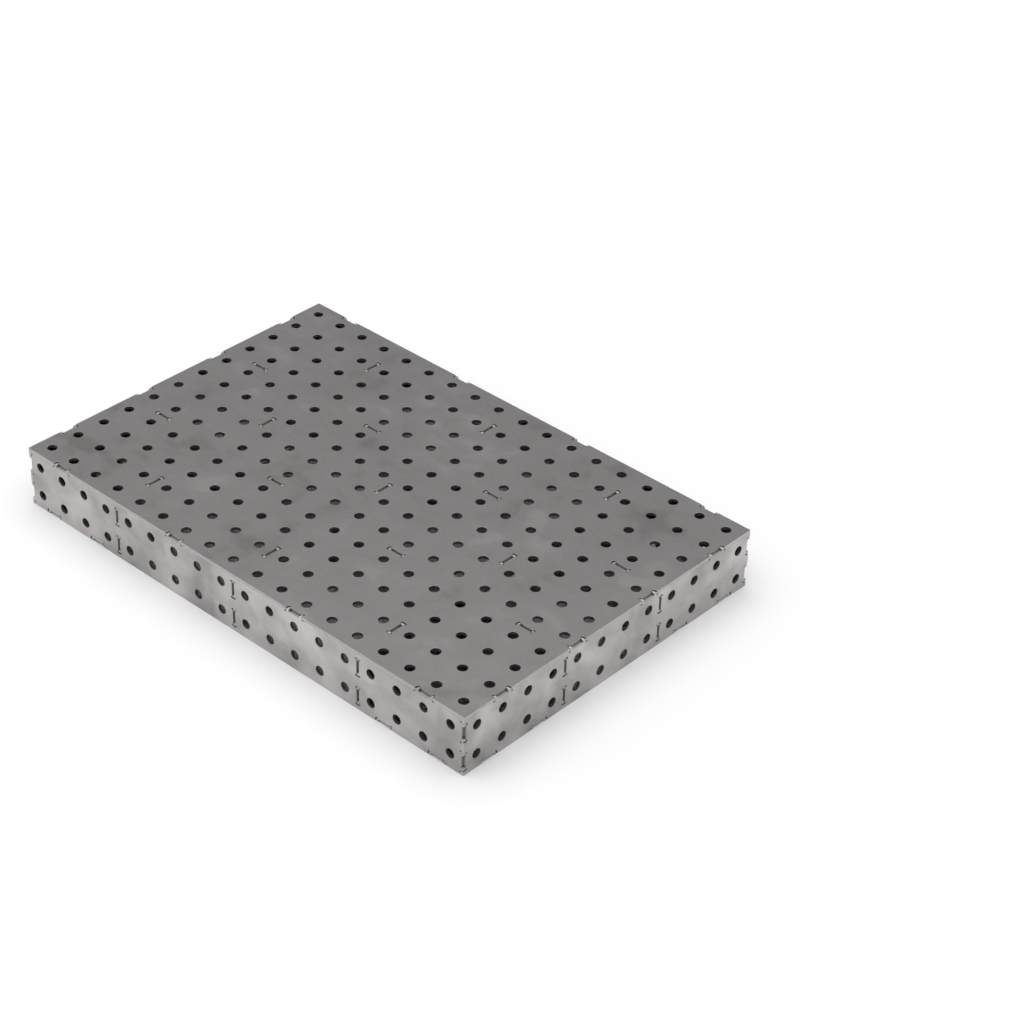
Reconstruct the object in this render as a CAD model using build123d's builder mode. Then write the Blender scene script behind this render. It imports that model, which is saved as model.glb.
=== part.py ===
"""Legless modular welding table: flat steel plates locked together by tabs and slots, then stitch welded inside.

Origin at the bottom centre, +X along the length, +Y towards the back, +Z up. Millimetres.
"""
from build123d import *
import os

os.makedirs("parts", exist_ok=True)

# ---- Driving dimensions -------------------------------------------------------------------------------------------
INCH = 25.4
length = 36 * INCH            # along X
width = 24 * INCH             # along Y
height = 4 * INCH             # along Z
plate = INCH * 3 / 16         # thickness of every plate
pitch = 2 * INCH              # fixture hole grid
hole_radius = 8.0             # takes a 5/8 in fixture pin

# Tab and slot joint: two ears in one slot, with an empty weld pocket between them
tab_length = 1.26 * INCH      # over both ears
ear_width = 0.22 * INCH
ear_recess = 0.3              # ear tips stop this far below the outer surface
ear_round = 2.4
slot_gap = 0.15               # play on each face of a tab
end_gap = 0.4                 # play past each end of a tab
relief_radius = 1.65          # round reliefs in the corners of slots, notches and tab roots
relief_out = 0.9              # how far a slot relief's centre stands past the slot's side
relief_inset = 1.7            # and how far in it stands from the tab's end
root_relief_drop = 0.7        # depth of a tab root relief's centre below the edge

# Ribs
cross_ribs = {"left": -10 * INCH, "middle": 0.0, "right": 10 * INCH}    # x of each rib's centre
long_ribs = {"front": -4 * INCH, "back": 4 * INCH}                      # y of each rib's centre
window_height = 1.64 * INCH   # oblong opening in each bay of a rib
window_margin = 1.5 * INCH    # from a rib's or rail's centre line to the opening's end

# Bolt pattern for a leg or caster plate in each corner
leg_spacing = 3 * INCH
leg_hole_radius = 5.6

# Stitch welds
weld_leg = 4.8
weld_length = 0.9 * INCH
pocket_weld_sink = 0.4        # a filled pocket stays this far below its surroundings

# ---- Worked out from the driving dimensions -----------------------------------------------------------------------
rail_height = height - plate              # rails and ribs stand under the top plate
inner_x = length / 2 - plate              # inner faces of the end rails
inner_y = width / 2 - plate               # inner faces of the long rails
pocket_length = tab_length - 2 * ear_width
tab_heights = (rail_height / 2 - pitch / 2, rail_height / 2 + pitch / 2)  # z of the tabs at a plate's ends
long_tabs = [-15 * INCH, -5 * INCH, 5 * INCH, 15 * INCH]                # x of tabs up into the top
short_tabs = [-9 * INCH, -3 * INCH, 3 * INCH, 9 * INCH]                 # y of tabs up into the top
cross_rib_tabs = [-9 * INCH, 0.0, 9 * INCH]                             # y of a cross rib's tabs
corner_reach = length / 2 - cross_ribs["right"]                         # side of a corner bay
corner_tabs = (pitch, 3 * pitch)                                        # from the table's corner
corner_tabs_x = [side * (length / 2 - d) for side in (-1, 1) for d in corner_tabs]
corner_tabs_y = [side * (width / 2 - d) for side in (-1, 1) for d in corner_tabs]
corners = {"front_left": (-1, -1), "front_right": (1, -1), "back_left": (-1, 1), "back_right": (1, 1)}


# ---- Planes and joint features ------------------------------------------------------------------------------------
def lengthwise_plane(front_face_y):
    """Upright plane along X for a plate whose front face is at that y: local x is X, local y is Z."""
    return Plane(origin=(0, front_face_y, 0), x_dir=(1, 0, 0), z_dir=(0, -1, 0))


def crosswise_plane(right_face_x):
    """Upright plane along Y for a plate whose right face is at that x: local x is Y, local y is Z."""
    return Plane(origin=(right_face_x, 0, 0), x_dir=(0, 1, 0), z_dir=(1, 0, 0))


def slots(points, turn=0):
    """Closed slots for tabs, with a round relief in each corner."""
    for point in points:
        with Locations(Location(point, turn)):
            Rectangle(tab_length + 2 * end_gap, plate + 2 * slot_gap, mode=Mode.SUBTRACT)
            with GridLocations(tab_length - 2 * relief_inset, plate + 2 * relief_out, 2, 2):
                Circle(relief_radius, mode=Mode.SUBTRACT)


def notches(points, turn):
    """Slots that open onto an edge. At turn 0 the edge faces local +Y and the notch runs down from it."""
    depth = plate + slot_gap
    for point in points:
        with Locations(Location(point, turn)):
            with Locations((0, -depth / 2)):
                Rectangle(tab_length + 2 * end_gap, depth, mode=Mode.SUBTRACT)
            with Locations((0, -plate - relief_out)):
                with GridLocations(tab_length - 2 * relief_inset, 0, 2, 1):
                    Circle(relief_radius, mode=Mode.SUBTRACT)


def tabs(points, turn):
    """Pairs of ears on an edge, with a relief at each root. At turn 0 they point to local +Y."""
    ear_height = plate - ear_recess
    for point in points:
        with Locations(Location(point, turn)):
            with Locations((0, ear_height / 2 - ear_round)):
                with GridLocations(tab_length - ear_width, 0, 2, 1):
                    RectangleRounded(ear_width, ear_height + 2 * ear_round, ear_round)
            with Locations((0, -root_relief_drop)):
                with GridLocations(tab_length + 2 * relief_radius, 0, 2, 1):
                    Circle(relief_radius, mode=Mode.SUBTRACT)


def fixture_holes(columns, rows, centre=(0, 0)):
    with Locations(centre):
        with GridLocations(pitch, pitch, columns, rows):
            Circle(hole_radius, mode=Mode.SUBTRACT)


def windows(stations):
    """Oblong openings, one between each two neighbouring stations along a rib."""
    for near, far in zip(stations, stations[1:]):
        with Locations(((near + far) / 2, rail_height / 2)):
            SlotOverall(far - near - 2 * window_margin, window_height, mode=Mode.SUBTRACT)


def half_laps(stations, base):
    """Slits from mid height, where a rib passes through another."""
    for station in stations:
        with Locations((station, base + rail_height / 4)):
            Rectangle(plate + 2 * slot_gap, rail_height / 2 + 2 * slot_gap, mode=Mode.SUBTRACT)


# ---- Top plate ----------------------------------------------------------------------------------------------------
with BuildPart() as top_plate:
    with BuildSketch(Plane.XY.offset(rail_height)):
        Rectangle(length, width)
        fixture_holes(18, 12)
        for rib_x in cross_ribs.values():
            slots([(rib_x, y) for y in cross_rib_tabs], turn=90)
        for rib_y in long_ribs.values():
            slots([(x, rib_y) for x in long_tabs])
        notches([(x, width / 2) for x in long_tabs], turn=0)
        notches([(x, -width / 2) for x in long_tabs], turn=180)
        notches([(length / 2, y) for y in short_tabs], turn=-90)
        notches([(-length / 2, y) for y in short_tabs], turn=90)
    extrude(amount=plate)
top_plate.part.label = "top_plate"
export_step(top_plate.part, "parts/top_plate.step")

# ---- Long rails: tabs at both ends pass through the end rails -----------------------------------------------------
for name, front_face_y in (("front_rail", -width / 2), ("back_rail", inner_y)):
    with BuildPart() as long_rail:
        with BuildSketch(lengthwise_plane(front_face_y)):
            with Locations((0, rail_height / 2)):
                Rectangle(2 * inner_x, rail_height)
            fixture_holes(18, 2, centre=(0, pitch))
            for rib_x in cross_ribs.values():
                slots([(rib_x, z) for z in tab_heights], turn=90)
            tabs([(x, rail_height) for x in long_tabs], turn=0)
            tabs([(inner_x, z) for z in tab_heights], turn=-90)
            tabs([(-inner_x, z) for z in tab_heights], turn=90)
            notches([(x, 0) for x in corner_tabs_x], turn=180)
        extrude(amount=-plate)
    long_rail.part.label = name
    export_step(long_rail.part, f"parts/{name}.step")

# ---- End rails: full width, notched on their upright edges for the long rails -------------------------------------
for name, right_face_x in (("left_rail", -inner_x), ("right_rail", length / 2)):
    with BuildPart() as end_rail:
        with BuildSketch(crosswise_plane(right_face_x)):
            with Locations((0, rail_height / 2)):
                Rectangle(width, rail_height)
            fixture_holes(12, 2, centre=(0, pitch))
            for rib_y in long_ribs.values():
                slots([(rib_y, z) for z in tab_heights], turn=90)
            tabs([(y, rail_height) for y in short_tabs], turn=0)
            notches([(width / 2, z) for z in tab_heights], turn=-90)
            notches([(-width / 2, z) for z in tab_heights], turn=90)
            notches([(y, 0) for y in corner_tabs_y], turn=180)
        extrude(amount=-plate)
    end_rail.part.label = name
    export_step(end_rail.part, f"parts/{name}.step")

# ---- Cross ribs: slit from the top, so the long ribs drop into them -----------------------------------------------
for side, rib_x in cross_ribs.items():
    with BuildPart() as cross_rib:
        with BuildSketch(crosswise_plane(rib_x + plate / 2)):
            with Locations((0, rail_height / 2)):
                Rectangle(2 * inner_y, rail_height)
            windows([-width / 2, *long_ribs.values(), width / 2])
            half_laps(long_ribs.values(), base=rail_height / 2)
            tabs([(y, rail_height) for y in cross_rib_tabs], turn=0)
            tabs([(inner_y, z) for z in tab_heights], turn=-90)
            tabs([(-inner_y, z) for z in tab_heights], turn=90)
            if side != "middle":
                notches([(y, 0) for y in corner_tabs_y], turn=180)
        extrude(amount=-plate)
    cross_rib.part.label = f"cross_rib_{side}"
    export_step(cross_rib.part, f"parts/cross_rib_{side}.step")

# ---- Long ribs: slit from the bottom ------------------------------------------------------------------------------
for side, rib_y in long_ribs.items():
    with BuildPart() as long_rib:
        with BuildSketch(lengthwise_plane(rib_y - plate / 2)):
            with Locations((0, rail_height / 2)):
                Rectangle(2 * inner_x, rail_height)
            windows([-length / 2, *cross_ribs.values(), length / 2])
            half_laps(cross_ribs.values(), base=0)
            tabs([(x, rail_height) for x in long_tabs], turn=0)
            tabs([(inner_x, z) for z in tab_heights], turn=-90)
            tabs([(-inner_x, z) for z in tab_heights], turn=90)
            notches([(x, 0) for x in corner_tabs_x], turn=180)
        extrude(amount=-plate)
    long_rib.part.label = f"long_rib_{side}"
    export_step(long_rib.part, f"parts/long_rib_{side}.step")

# ---- Corner plates: tabs on all four sides, and bolt holes for a leg or caster ------------------------------------
plate_near = corner_reach - plate / 2      # rib-side edge, measured in from the table's corner
plate_side = plate_near - plate            # rail-side edge is at the rail's inner face
plate_middle = plate + plate_side / 2
for name, (side_x, side_y) in corners.items():
    centre = (side_x * (length / 2 - plate_middle), side_y * (width / 2 - plate_middle))
    tab_x = [side_x * (length / 2 - d) for d in corner_tabs]
    tab_y = [side_y * (width / 2 - d) for d in corner_tabs]
    with BuildPart() as corner_plate:
        with BuildSketch(Plane.XY):
            with Locations(centre):
                Rectangle(plate_side, plate_side)
            tabs([(x, centre[1] + plate_side / 2) for x in tab_x], turn=0)
            tabs([(x, centre[1] - plate_side / 2) for x in tab_x], turn=180)
            tabs([(centre[0] + plate_side / 2, y) for y in tab_y], turn=-90)
            tabs([(centre[0] - plate_side / 2, y) for y in tab_y], turn=90)
            with Locations((side_x * (length / 2 - 2 * pitch), side_y * (width / 2 - 2 * pitch))):
                with GridLocations(leg_spacing, leg_spacing, 2, 2):
                    Circle(leg_hole_radius, mode=Mode.SUBTRACT)
        extrude(amount=plate)
    corner_plate.part.label = f"corner_plate_{name}"
    export_step(corner_plate.part, f"parts/corner_plate_{name}.step")


# ---- Stitch welds -------------------------------------------------------------------------------------------------
def fillet_weld(root, along, across):
    """Fillet weld centred on root: its legs lie along `across` and along `along` x `across`."""
    with BuildSketch(Plane(origin=root, x_dir=across, z_dir=along)) as section:
        with BuildLine():
            Polyline((0, 0), (weld_leg, 0), (0, weld_leg), close=True)
        make_face()
    extrude(section.sketch, amount=weld_length / 2, both=True)


def under_top_x(x, y, side):
    """Weld along X under the top, on the side of a plate that faces side * Y."""
    fillet_weld((x, y, rail_height), (side, 0, 0), (0, 0, -1))


def under_top_y(x, y, side):
    """Weld along Y under the top, on the side of a plate that faces side * X."""
    fillet_weld((x, y, rail_height), (0, -side, 0), (0, 0, -1))


def upright(x, y, z, side_x, side_y):
    """Upright weld in the corner that opens towards side_x, side_y."""
    if side_x * side_y > 0:
        fillet_weld((x, y, z), (0, 0, 1), (side_x, 0, 0))
    else:
        fillet_weld((x, y, z), (0, 0, 1), (0, side_y, 0))


with BuildPart() as welds_top_to_rails:
    for side in (-1, 1):
        for x in long_tabs:
            under_top_x(x, side * inner_y, -side)
        for y in short_tabs:
            under_top_y(side * inner_x, y, -side)
welds_top_to_rails.part.label = "welds_top_to_rails"
export_step(welds_top_to_rails.part, "parts/welds_top_to_rails.step")

with BuildPart() as welds_top_to_ribs:
    for side in (-1, 1):
        for rib_x in cross_ribs.values():
            for y in cross_rib_tabs:
                under_top_y(rib_x + side * plate / 2, y, side)
        for rib_y in long_ribs.values():
            for x in long_tabs:
                under_top_x(x, rib_y + side * plate / 2, side)
welds_top_to_ribs.part.label = "welds_top_to_ribs"
export_step(welds_top_to_ribs.part, "parts/welds_top_to_ribs.step")

with BuildPart() as welds_rail_corners:
    for side_x, side_y in corners.values():
        for z in tab_heights:
            upright(side_x * inner_x, side_y * inner_y, z, -side_x, -side_y)
welds_rail_corners.part.label = "welds_rail_corners"
export_step(welds_rail_corners.part, "parts/welds_rail_corners.step")

with BuildPart() as welds_rib_ends:
    for end in (-1, 1):
        for side in (-1, 1):
            for z in tab_heights:
                for rib_x in cross_ribs.values():
                    upright(rib_x + side * plate / 2, end * inner_y, z, side, -end)
                for rib_y in long_ribs.values():
                    upright(end * inner_x, rib_y + side * plate / 2, z, -end, side)
welds_rib_ends.part.label = "welds_rib_ends"
export_step(welds_rib_ends.part, "parts/welds_rib_ends.step")

with BuildPart() as welds_rib_crossings:
    for rib_x in cross_ribs.values():
        for rib_y in long_ribs.values():
            for side in (-1, 1):
                for z in tab_heights:
                    upright(rib_x + side * plate / 2, rib_y + side * plate / 2, z, side, side)
welds_rib_crossings.part.label = "welds_rib_crossings"
export_step(welds_rib_crossings.part, "parts/welds_rib_crossings.step")

# Weld metal that fills the pockets where the corner plates' tabs come through the ribs
pocket_fill = (pocket_length, plate - pocket_weld_sink, plate - pocket_weld_sink)
with BuildPart() as welds_corner_plates:
    for side_x, side_y in corners.values():
        rib_x = side_x * (length / 2 - plate_near)
        rib_y = side_y * (width / 2 - plate_near)
        inset = pocket_fill[1] / 2
        for d in corner_tabs:
            with Locations((side_x * (length / 2 - d), rib_y - side_y * inset, plate - pocket_fill[2] / 2)):
                Box(*pocket_fill)
            with Locations((rib_x - side_x * inset, side_y * (width / 2 - d), plate - pocket_fill[2] / 2)):
                Box(pocket_fill[1], pocket_fill[0], pocket_fill[2])
welds_corner_plates.part.label = "welds_corner_plates"
export_step(welds_corner_plates.part, "parts/welds_corner_plates.step")
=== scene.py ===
"""Looks of a legless modular welding table.

Procedural steel on the CAD plates, rippled beads in place of the CAD welds, and a studio with a pale
floor, light and camera.
"""

import random
from math import cos, pi, radians, sin

import bmesh
import bpy
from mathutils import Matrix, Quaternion, Vector


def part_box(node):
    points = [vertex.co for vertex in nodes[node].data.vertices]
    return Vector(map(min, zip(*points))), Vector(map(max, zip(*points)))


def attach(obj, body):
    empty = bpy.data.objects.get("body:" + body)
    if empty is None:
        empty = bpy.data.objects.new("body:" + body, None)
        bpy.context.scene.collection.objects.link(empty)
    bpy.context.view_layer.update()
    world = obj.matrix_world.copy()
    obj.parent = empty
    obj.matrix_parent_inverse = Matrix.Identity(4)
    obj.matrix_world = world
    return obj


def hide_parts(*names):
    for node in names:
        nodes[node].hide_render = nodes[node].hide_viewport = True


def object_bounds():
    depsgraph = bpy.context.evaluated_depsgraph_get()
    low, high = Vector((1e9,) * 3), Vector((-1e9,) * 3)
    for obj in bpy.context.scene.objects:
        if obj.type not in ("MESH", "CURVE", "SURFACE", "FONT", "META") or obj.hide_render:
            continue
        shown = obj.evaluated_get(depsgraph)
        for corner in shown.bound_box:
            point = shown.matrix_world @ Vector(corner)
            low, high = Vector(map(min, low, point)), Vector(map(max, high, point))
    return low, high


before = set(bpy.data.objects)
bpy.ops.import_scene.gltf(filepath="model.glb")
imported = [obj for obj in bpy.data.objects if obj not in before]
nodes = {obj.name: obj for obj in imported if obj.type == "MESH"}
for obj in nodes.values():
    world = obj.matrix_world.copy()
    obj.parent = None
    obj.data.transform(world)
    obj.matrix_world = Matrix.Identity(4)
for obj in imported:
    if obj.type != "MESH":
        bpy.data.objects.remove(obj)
cad_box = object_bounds()
low_corner, high_corner = cad_box
middle = (low_corner + high_corner) / 2
half_size = (high_corner - low_corner) / 2

INCH = 0.0254
MM = 0.001
X_AXIS, Y_AXIS, Z_AXIS = 0, 1, 2


# ---- Shader node helpers -------------------------------------------------------------------------
class Shader:
    """Adds nodes to one tree. An input is a number, a colour, a vector or another node's output."""

    def __init__(self, tree):
        self.tree = tree
        tree.nodes.clear()

    def add(self, kind, inputs, output=0, **settings):
        node = self.tree.nodes.new(kind)
        for name, value in settings.items():
            setattr(node, name, value)
        for name, value in inputs.items():
            if isinstance(value, bpy.types.NodeSocket):
                self.tree.links.new(value, node.inputs[name])
            else:
                node.inputs[name].default_value = value
        return node.outputs[output]

    def split(self, vector):
        """The three parts of a vector, to be picked by axis."""
        node = self.tree.nodes.new("ShaderNodeSeparateXYZ")
        self.tree.links.new(vector, node.inputs[0])
        return node.outputs

    def finish(self, surface, kind="ShaderNodeOutputMaterial"):
        node = self.tree.nodes.new(kind)
        self.tree.links.new(surface, node.inputs["Surface"])

    def math(self, operation, first, second=0.0):
        return self.add("ShaderNodeMath", {0: first, 1: second}, operation=operation)

    def ramp(self, value, start, end, low=0.0, high=1.0, curve="SMOOTHSTEP"):
        """Goes from low to high as value goes from start to end, and stays there beyond."""
        inputs = {"Value": value, "From Min": start, "From Max": end, "To Min": low, "To Max": high}
        return self.add("ShaderNodeMapRange", inputs, interpolation_type=curve)

    def blend(self, share, low, high):
        inputs = {0: share, 2: low, 3: high}
        return self.add("ShaderNodeMix", inputs, data_type="FLOAT")

    def tint(self, share, low, high):
        inputs = {0: share, 6: low, 7: high}
        return self.add("ShaderNodeMix", inputs, output=2, data_type="RGBA")

    def stretch(self, position, scale):
        return self.add("ShaderNodeMapping", {"Vector": position, "Scale": scale})

    def noise(self, position, scale, detail=2.0, roughness=0.5, distortion=0.0):
        inputs = {"Vector": position, "Scale": scale, "Detail": detail}
        inputs.update({"Roughness": roughness, "Distortion": distortion})
        return self.add("ShaderNodeTexNoise", inputs)

    def sum_of_noise(self, weights):
        """Noise fields added up about a middle value of 0.5, each with its weight."""
        total = 0.5
        for field, weight in weights.items():
            swing = self.math("MULTIPLY", self.math("SUBTRACT", field, 0.5), weight)
            total = self.math("ADD", total, swing)
        return total

    def bump(self, height, distance, normal=None):
        inputs = {"Height": height, "Distance": distance, "Strength": 1.0}
        if normal is not None:
            inputs["Normal"] = normal
        return self.add("ShaderNodeBump", inputs)


def grey(level, warmth=0.0):
    """A grey of that linear level, with more red for a positive warmth."""
    return (level * (1 + warmth), level, level, 1.0)


def new_material(name):
    material = bpy.data.materials.new(name)
    material.use_nodes = True
    return material, Shader(material.node_tree)


# ---- Steel plate ---------------------------------------------------------------------------------
def outer_edge_mask(shader, position, normal):
    """1 on faces close to the table's outer box that point out of it, such as the tips of ears."""
    reach = 2.2 * MM
    from_middle = shader.add("ShaderNodeVectorMath", {0: position, 1: middle}, operation="SUBTRACT")
    place = shader.split(from_middle)
    direction = shader.split(normal)
    total = 0.0
    for axis in (X_AXIS, Y_AXIS, Z_AXIS):
        distance = shader.math("ABSOLUTE", place[axis])
        near = shader.math("GREATER_THAN", distance, half_size[axis] - reach)
        facing = shader.ramp(shader.math("ABSOLUTE", direction[axis]), 0.3, 0.6)
        total = shader.math("ADD", total, shader.math("MULTIPLY", near, facing))
    return shader.math("MINIMUM", total, 1.0)


def fixture_hole_mask(shader, position, face_axis):
    """1 on the walls of the fixture holes, whose axes stand at odd inches from the shared origin."""
    hole_reach = 8.5 * MM / INCH
    place = shader.split(position)
    distance_squared = 0.0
    for axis in (X_AXIS, Y_AXIS, Z_AXIS):
        if axis == face_axis:
            continue
        inches = shader.math("DIVIDE", place[axis], INCH)
        from_odd_inch = shader.math("PINGPONG", shader.math("ADD", inches, 1.0), 1.0)
        squared = shader.math("MULTIPLY", from_odd_inch, from_odd_inch)
        distance_squared = shader.math("ADD", distance_squared, squared)
    return shader.math("LESS_THAN", distance_squared, hole_reach ** 2)


def mill_marks(shader, position):
    """Noise fields of a rolled face: clouds, patches, streaks, grain and specks."""
    along_rolling = shader.stretch(position, (1.2, 9.0, 9.0))
    fine_along_rolling = shader.stretch(position, (30.0, 260.0, 260.0))
    clouds = shader.noise(position, 8.0, detail=2.0, roughness=0.4, distortion=0.9)
    patches = shader.noise(position, 24.0, detail=2.0, roughness=0.4, distortion=0.5)
    streaks = shader.noise(along_rolling, 5.0, detail=3.0)
    grain = shader.noise(fine_along_rolling, 4.0, detail=3.0, roughness=0.7)
    specks = shader.noise(position, 620.0, detail=2.0)
    return clouds, patches, streaks, grain, specks


def cut_marks(shader, position, face_axis):
    """Lines that the cutting beam leaves across the plate's thickness."""
    across = [420.0, 420.0, 420.0]
    across[face_axis] = 45.0
    return shader.noise(shader.stretch(position, across), 1.0, detail=2.0, roughness=0.6)


def cut_steel(shader, position, face_axis, cut_lines, outer_edge):
    """Colour of cut surfaces: bare outer edges, duller slot walls, and walls in fixture holes painted near
    black as shade.
    """
    outer_colour = shader.tint(cut_lines, grey(0.33, 0.04), grey(0.46, 0.04))
    slot_colour = shader.tint(cut_lines, (0.25, 0.24, 0.225, 1), (0.38, 0.365, 0.345, 1))
    # Painted shade: the walls of the fixture holes get a near-black colour
    hole_painted_shade_colour = shader.tint(cut_lines, grey(0.07, 0.05), grey(0.12, 0.04))
    hole = fixture_hole_mask(shader, position, face_axis)
    wall_colour = shader.tint(hole, slot_colour, hole_painted_shade_colour)
    return shader.tint(outer_edge, wall_colour, outer_colour)


def painted_shade_share(shader, mill_face):
    """How much painted shade darkens a cut wall: most in the tight reliefs and gaps, none on open walls."""
    openness_inputs = {"Distance": 3.0 * MM}
    openness = shader.add("ShaderNodeAmbientOcclusion", openness_inputs, output=1, samples=4)
    # Painted shade: the more enclosed a cut wall is, the closer its colour goes to near black
    painted_shade = shader.ramp(openness, 0.80, 0.40, 0.0, 0.95)
    return shader.math("MULTIPLY", painted_shade, shader.math("SUBTRACT", 1.0, mill_face))


def painted_rim_highlight(shader, rounded, patches, shows_rim_highlight):
    """Painted highlight: brighter rims where two faces meet, in patches; the last argument is 1 on the
    surfaces that show them.
    """
    true_normal = shader.add("ShaderNodeNewGeometry", {}, output=3)
    both_normals = {0: rounded, 1: true_normal}
    sameness = shader.add("ShaderNodeVectorMath", both_normals, output=1, operation="DOT_PRODUCT")
    # Painted highlight: light grey where the rounded normal turns away from the true one, along every edge
    rim_highlight = shader.ramp(sameness, 0.99, 0.86)
    rim_highlight = shader.math("MULTIPLY", rim_highlight, shader.ramp(patches, 0.35, 0.6, 0.45, 0.9))
    return shader.math("MULTIPLY", rim_highlight, shows_rim_highlight)


def plate_steel(name, face_axis):
    """Rolled plate whose mill faces lie across face_axis, with its cut edges and walls."""
    material, shader = new_material(name)
    position = shader.add("ShaderNodeTexCoord", {}, output=3)
    normal = shader.add("ShaderNodeTexCoord", {}, output=1)
    facing = shader.math("ABSOLUTE", shader.split(normal)[face_axis])
    mill_face = shader.ramp(facing, 0.6, 0.8)
    outer_edge = outer_edge_mask(shader, position, normal)
    # Mill faces and outer edges are the surfaces that get the painted rim highlight
    shows_rim_highlight = shader.math("MAXIMUM", mill_face, outer_edge)
    clouds, patches, streaks, grain, specks = mill_marks(shader, position)
    cut_lines = cut_marks(shader, position, face_axis)
    rounded = shader.add("ShaderNodeBevel", {"Radius": 0.6 * MM}, samples=4)

    weights = {clouds: 1.6, patches: 1.1, streaks: 0.5, grain: 0.15, specks: 0.15}
    shade = shader.sum_of_noise(weights)
    mill_colour = shader.tint(shade, grey(0.27, 0.055), grey(0.515, 0.045))
    cut_colour = cut_steel(shader, position, face_axis, cut_lines, outer_edge)
    colour = shader.tint(mill_face, cut_colour, mill_colour)
    # Painted shade: cut walls in tight reliefs and gaps are darkened towards near black
    colour = shader.tint(painted_shade_share(shader, mill_face), colour, grey(0.02))
    # Painted highlight: a light grey laid along the rims of the edges
    rim_highlight = painted_rim_highlight(shader, rounded, patches, shows_rim_highlight)
    colour = shader.tint(rim_highlight, colour, grey(0.70, 0.01))

    # Darker patches of a mill face are rougher, and cut walls are rougher still
    speckle = shader.math("MULTIPLY", shader.math("SUBTRACT", specks, 0.5), 0.10)
    mill_roughness = shader.ramp(shade, 0.25, 0.75, 0.31, 0.21, "LINEAR")
    mill_roughness = shader.math("ADD", mill_roughness, speckle)
    cut_roughness = shader.ramp(cut_lines, 0.3, 0.7, 0.45, 0.6, "LINEAR")
    cut_roughness = shader.blend(outer_edge, cut_roughness, 0.30)
    roughness = shader.blend(mill_face, cut_roughness, mill_roughness)
    cut_metal = shader.blend(outer_edge, 0.5, 1.0)
    metallic = shader.blend(mill_face, cut_metal, 1.0)

    # Relief: slow waviness, pits and grain on every surface, and ridges on the cut ones
    surface = shader.bump(clouds, 0.6 * MM, normal=rounded)
    surface = shader.bump(specks, 0.012 * MM, normal=surface)
    surface = shader.bump(grain, 0.010 * MM, normal=surface)
    ridges = shader.math("MULTIPLY", cut_lines, shader.math("SUBTRACT", 1.0, mill_face))
    surface = shader.bump(ridges, 0.35 * MM, normal=surface)

    finish = {"Base Color": colour, "Roughness": roughness, "Metallic": metallic, "Normal": surface}
    shader.finish(shader.add("ShaderNodeBsdfPrincipled", finish))
    return material


def dress_plates():
    """Gives every plate the steel whose mill faces lie across that plate's thickness."""
    steels = {X_AXIS: plate_steel("steel_across_x", X_AXIS),
              Y_AXIS: plate_steel("steel_across_y", Y_AXIS),
              Z_AXIS: plate_steel("steel_across_z", Z_AXIS)}
    for name, node in nodes.items():
        if name.startswith("welds_"):
            continue
        low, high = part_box(name)
        extent = list(high - low)
        thin_axis = extent.index(min(extent))
        node.data.materials.clear()
        node.data.materials.append(steels[thin_axis])


# ---- Weld beads ----------------------------------------------------------------------------------
def bead_metal():
    """Weld metal: bright steel with straw and blue heat colours and a little soot in the ripples."""
    material, shader = new_material("weld_metal")
    position = shader.add("ShaderNodeTexCoord", {}, output=3)
    drift = shader.noise(position, 90.0, detail=3.0)
    fine = shader.noise(position, 1400.0, detail=3.0)
    straw = shader.tint(shader.ramp(drift, 0.35, 0.5), grey(0.36, 0.02), (0.40, 0.30, 0.19, 1))
    blued = shader.tint(shader.ramp(drift, 0.52, 0.68), straw, (0.17, 0.19, 0.27, 1))
    colour = shader.tint(shader.ramp(fine, 0.3, 0.7, 0.0, 0.5), blued, grey(0.16, 0.05))
    roughness = shader.ramp(fine, 0.3, 0.7, 0.26, 0.46, "LINEAR")
    surface = shader.bump(fine, 0.03 * MM)
    finish = {"Base Color": colour, "Roughness": roughness, "Metallic": 1.0, "Normal": surface}
    shader.finish(shader.add("ShaderNodeBsdfPrincipled", finish))
    return material


def separate_welds(node):
    """The corner points of each separate weld in a CAD node."""
    mesh = bmesh.new()
    mesh.from_mesh(node.data)
    bmesh.ops.remove_doubles(mesh, verts=mesh.verts, dist=0.01 * MM)
    waiting = set(mesh.verts)
    welds = []
    while waiting:
        front = [waiting.pop()]
        island = []
        while front:
            vertex = front.pop()
            island.append(vertex.co.copy())
            for edge in vertex.link_edges:
                other = edge.other_vert(vertex)
                if other in waiting:
                    waiting.remove(other)
                    front.append(other)
        welds.append(island)
    mesh.free()
    welds.sort(key=lambda points: tuple(round(value, 4) for value in points_middle(points)))
    return welds


def points_middle(points):
    return sum(points, Vector()) / len(points)


def fillet_outline():
    """Section of a fillet weld with legs of 1: the root, then the bulging face from one toe to the other."""
    bulge = 0.35
    steps = 6
    outline = [(0.0, 0.0)]
    for step in range(steps + 1):
        angle = pi / 2 * step / steps
        flat = 1 / (cos(angle) + sin(angle))
        radius = flat + bulge * (1 - flat)
        outline.append((radius * cos(angle), radius * sin(angle)))
    return outline


def plug_outline():
    """Section of a weld that fills a square pocket, round towards the two open sides."""
    steps = 8
    outline = []
    for step in range(steps):
        angle = 2 * pi * step / steps
        reach = 0.5 / max(abs(cos(angle)), abs(sin(angle)), 0.84)
        outline.append((0.5 + reach * cos(angle), 0.5 + reach * sin(angle)))
    return outline


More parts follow.
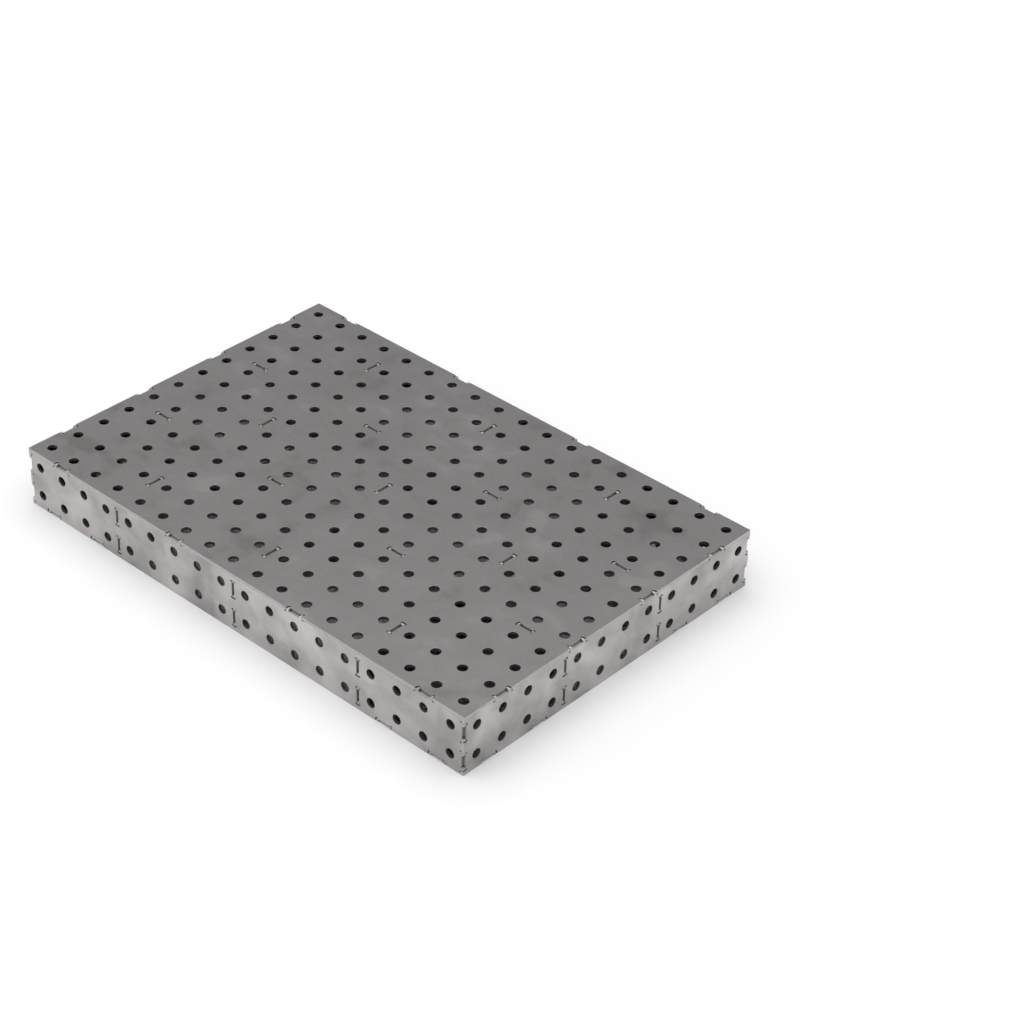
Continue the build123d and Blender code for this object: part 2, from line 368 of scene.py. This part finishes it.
def weld_frame(points):
    """Where a CAD weld lies: its lowest corner, size, long axis, and the root and legs of its section."""
    low = Vector(min(point[axis] for point in points) for axis in range(3))
    high = Vector(max(point[axis] for point in points) for axis in range(3))
    size = high - low
    centre = points_middle(points)
    along = max(range(3), key=lambda axis: size[axis])
    section_axes = [axis for axis in range(3) if axis != along]
    root = {}
    legs = {}
    for axis in section_axes:
        # The root is the side that holds more of the section's points
        from_low = centre[axis] <= (low[axis] + high[axis]) / 2 + 0.01 * MM
        root[axis] = low[axis] if from_low else high[axis]
        legs[axis] = size[axis] if from_low else -size[axis]
    return low, size, along, section_axes, root, legs


def ripple_stations(long_size, count, dice):
    """Place along a bead, from 0 to 1, and size of its section, three times in each ripple."""
    swell = (0.90, 0.97, 1.0)
    end_size = 0.62
    taper_length = 5.0 * MM
    stations = []
    for turn in range(count):
        lift = dice.uniform(0.93, 1.0)
        for step, share in enumerate(swell):
            travel = (turn + (step + 0.5) / len(swell)) / count
            from_end = min(travel, 1 - travel) * long_size
            taper = min(1.0, end_size + from_end / taper_length)
            stations.append((travel, share * lift * taper))
    return stations


def bead(mesh, points, outline, dice):
    """One ripple bead in the space of a CAD weld: rings of the outline, swelling once in each ripple."""
    low, size, along, (first, second), root, legs = weld_frame(points)
    ripple_length = 2.1 * MM
    ripple = ripple_length * dice.uniform(0.92, 1.08)
    count = max(4, round(size[along] / ripple))
    ripple = size[along] / count
    direction = dice.choice((-1, 1))
    lean = 0.55    # share of a ripple by which the crest runs ahead of the toes
    end_margin = 0.01
    rings = []
    for travel, scale in ripple_stations(size[along], count, dice):
        ring = []
        for across, up in outline:
            crest = 4 * max(0.0, across) * max(0.0, up)
            slide = travel + direction * lean * crest * ripple / size[along]
            slide = min(max(slide, end_margin), 1 - end_margin)
            if direction < 0:
                slide = 1 - slide
            place = Vector()
            place[along] = low[along] + slide * size[along]
            place[first] = root[first] + legs[first] * across * scale
            place[second] = root[second] + legs[second] * up * scale
            ring.append(mesh.verts.new(place))
        rings.append(ring)
    sides = len(outline)
    for near, far in zip(rings, rings[1:]):
        for step in range(sides):
            after = (step + 1) % sides
            mesh.faces.new((near[step], near[after], far[after], far[step]))
    mesh.faces.new(rings[0])
    mesh.faces.new(list(reversed(rings[-1])))


def make_beads():
    """Replaces each node of plain CAD welds with one piece of rippled beads in the same places."""
    metal = bead_metal()
    dice = random.Random(17)
    for name in sorted(nodes):
        if not name.startswith("welds_"):
            continue
        outline = plug_outline() if name == "welds_corner_plates" else fillet_outline()
        mesh = bmesh.new()
        for points in separate_welds(nodes[name]):
            bead(mesh, points, outline, dice)
        bmesh.ops.recalc_face_normals(mesh, faces=mesh.faces)
        data = bpy.data.meshes.new(name.replace("welds_", "beads_"))
        mesh.to_mesh(data)
        mesh.free()
        data.polygons.foreach_set("use_smooth", [True] * len(data.polygons))
        data.set_sharp_from_angle(angle=radians(50))
        data.materials.append(metal)
        piece = bpy.data.objects.new(data.name, data)
        bpy.context.scene.collection.objects.link(piece)
        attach(piece, "root")
        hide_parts(name)


# ---- Studio --------------------------------------------------------------------------------------
def make_floor():
    """Pale round floor that curves up into a low wall far from the table on every side."""
    floor_radius = 14.0
    cove_radius = 3.0
    cove_steps = 8
    segments = 96
    profile = [(0.6, 0.0), (3.0, 0.0), (floor_radius, 0.0)]
    for step in range(1, cove_steps + 1):
        angle = pi / 2 * step / cove_steps
        profile.append((floor_radius + cove_radius * sin(angle), cove_radius * (1 - cos(angle))))
    mesh = bmesh.new()
    centre = mesh.verts.new((0, 0, 0))
    rings = []
    for radius, height in profile:
        angles = [2 * pi * step / segments for step in range(segments)]
        rings.append([mesh.verts.new((radius * cos(a), radius * sin(a), height)) for a in angles])
    for step in range(segments):
        after = (step + 1) % segments
        mesh.faces.new((centre, rings[0][step], rings[0][after]))
        for inner, outer in zip(rings, rings[1:]):
            mesh.faces.new((inner[step], outer[step], outer[after], inner[after]))
    data = bpy.data.meshes.new("floor")
    mesh.to_mesh(data)
    mesh.free()
    data.polygons.foreach_set("use_smooth", [True] * len(data.polygons))
    material, shader = new_material("floor_white")
    finish = {"Base Color": grey(0.86), "Roughness": 0.9, "Specular IOR Level": 0.0}
    shader.finish(shader.add("ShaderNodeBsdfPrincipled", finish))
    data.materials.append(material)
    floor = bpy.data.objects.new("floor", data)
    floor.location.z = low_corner.z - 0.05 * MM
    bpy.context.scene.collection.objects.link(floor)


def make_sky():
    """Soft dome: dim round the sides, bright overhead, and brighter towards the front left."""
    world = bpy.data.worlds.new("studio_dome")
    bpy.context.scene.world = world
    world.use_nodes = True
    shader = Shader(world.node_tree)
    direction = shader.split(shader.add("ShaderNodeTexCoord", {}, output=0))
    side_level = 0.44
    overhead_level = 2.30
    dome = shader.ramp(direction[Z_AXIS], 0.60, 0.95, side_level, overhead_level)
    sideways = shader.math("MULTIPLY", direction[X_AXIS], -0.14)
    forwards = shader.math("MULTIPLY", direction[Y_AXIS], -0.30)
    lean = shader.math("ADD", shader.math("ADD", sideways, forwards), 1.0)
    dome = shader.math("MULTIPLY", dome, lean)
    light = shader.add("ShaderNodeBackground", {"Color": grey(1.0), "Strength": dome})
    shader.finish(light, "ShaderNodeOutputWorld")


def make_softbox(name, place, aim, size, power):
    data = bpy.data.lights.new(name, "AREA")
    data.shape = "RECTANGLE"
    data.size, data.size_y = size
    data.energy = power
    light = bpy.data.objects.new(name, data)
    light.location = place
    light.rotation_mode = "QUATERNION"
    light.rotation_quaternion = (Vector(aim) - Vector(place)).to_track_quat("-Z", "Y")
    bpy.context.scene.collection.objects.link(light)


def make_camera():
    """Long lens, from the front right and above, with a slight roll."""
    azimuth, elevation, roll = radians(41.723), radians(35.126), radians(1.876)
    back = Vector((sin(azimuth) * cos(elevation), -cos(azimuth) * cos(elevation), sin(elevation)))
    data = bpy.data.cameras.new("camera")
    data.sensor_width = 36.0
    data.lens = 93.983
    data.clip_start = 0.05
    data.clip_end = 60.0
    camera = bpy.data.objects.new("camera", data)
    camera.location = (2.3303, -2.3238, 2.3769)
    camera.rotation_mode = "QUATERNION"
    camera.rotation_quaternion = (-back).to_track_quat("-Z", "Y") @ Quaternion((0, 0, 1), roll)
    bpy.context.scene.collection.objects.link(camera)
    bpy.context.scene.camera = camera


make_camera()
make_floor()
make_sky()
make_softbox("softbox_front", place=(-2.2, -2.6, 2.2), aim=(0, 0, 0), size=(2.4, 1.6), power=3.0)
dress_plates()
make_beads()
bpy.context.scene.view_settings.view_transform = "Standard"
